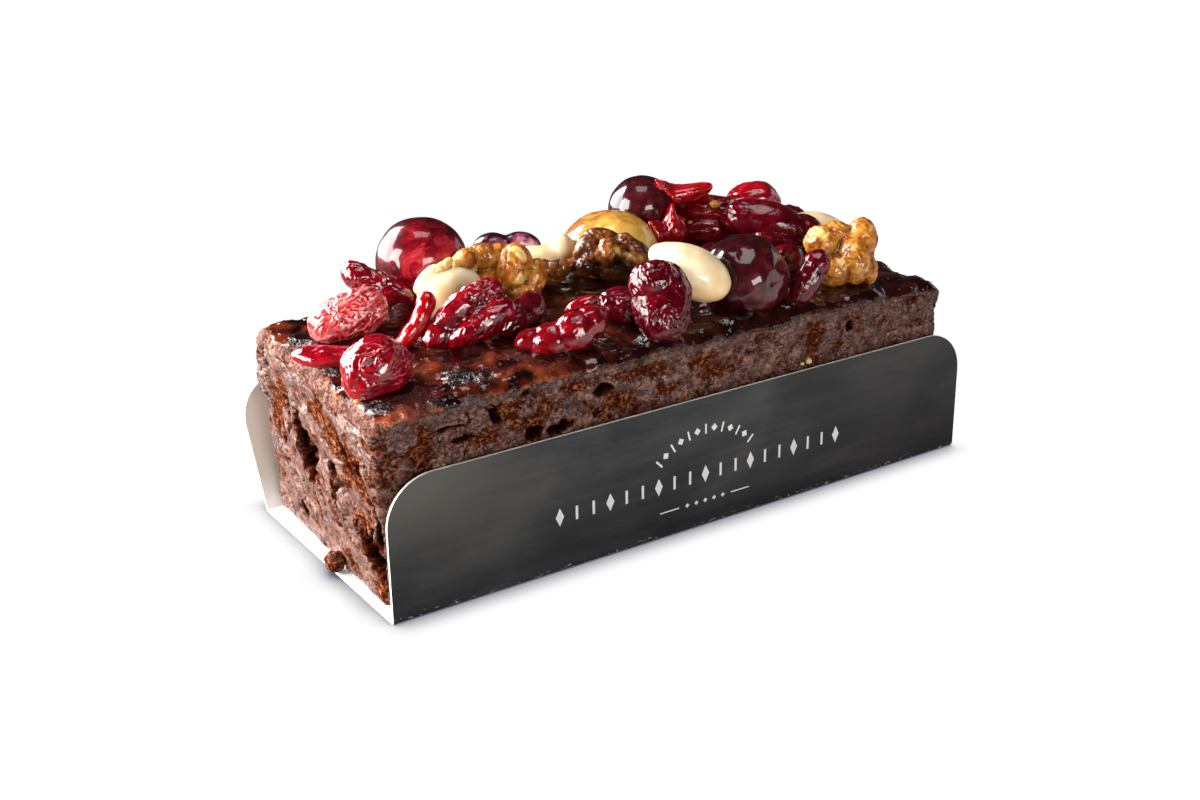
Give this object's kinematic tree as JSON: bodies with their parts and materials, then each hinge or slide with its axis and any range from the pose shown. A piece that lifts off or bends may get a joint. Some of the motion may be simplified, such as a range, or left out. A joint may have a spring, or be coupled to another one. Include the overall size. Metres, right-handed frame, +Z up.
{
  "type": "fruit cake",
  "caption": "Mini loaf fruit cake, glazed and topped with cherries, dried cranberries, walnuts and almonds, in a folded card tray with open ends.",
  "frame": {"origin": "middle of the underside of the card tray's floor", "axes": "+X runs along the loaf, +Y from the upright wall to the flared wall, +Z up"},
  "size_m": [0.1518, 0.073, 0.062],
  "materials": {
    "card": "satin printed charcoal outside, plain white inside",
    "crumb": "moist dense dark fruit crumb, glazed on top",
    "almond": "blanched almond under a thin glaze",
    "walnut": "golden brown walnut kernel under a thin glaze",
    "dark_walnut": "dark toasted walnut kernel under a thin glaze",
    "red_cherry": "clear deep red candied cherry",
    "gold_cherry": "clear amber candied cherry",
    "dark_cherry": "dark burgundy candied cherry",
    "red_berry": "wrinkled glossy red dried cranberry",
    "bright_berry": "bright red slice of dried cranberry",
    "dark_berry": "wrinkled glossy dark red dried cherry"
  },
  "bodies": {
    "root": {"tray": "card", "cake": "crumb", "almond_front": "almond", "almond_left": "almond", "almond_middle": "almond", "almond_right": "almond", "walnut_left": "walnut", "walnut_middle": "dark_walnut", "walnut_chip": "dark_walnut", "walnut_right": "walnut", "cherry_dark": "dark_cherry", "cherry_red": "red_cherry", "cherry_gold": "gold_cherry", "cherry_back": "dark_cherry", "cherry_plum": "dark_cherry", "berry_flat": "red_berry", "berry_corner": "red_berry", "berry_strip": "red_berry", "berry_leaf": "red_berry", "berry_sliver": "bright_berry", "berry_folded": "red_berry", "berry_low": "dark_berry", "berry_cup": "red_berry", "berry_tucked": "dark_berry", "berry_upended": "dark_berry", "berry_mass": "dark_berry", "berry_long": "dark_berry", "berry_top": "red_berry", "berry_under": "dark_berry", "berry_slanted": "dark_berry", "berry_cap": "bright_berry", "berry_upright": "bright_berry", "berry_bud": "red_berry", "almond_back": "almond", "walnut_back": "walnut", "berry_back": "dark_berry", "berry_end": "dark_berry", "berry_hidden": "dark_berry", "crumb": "crumb"}
  },
  "joints": []
}
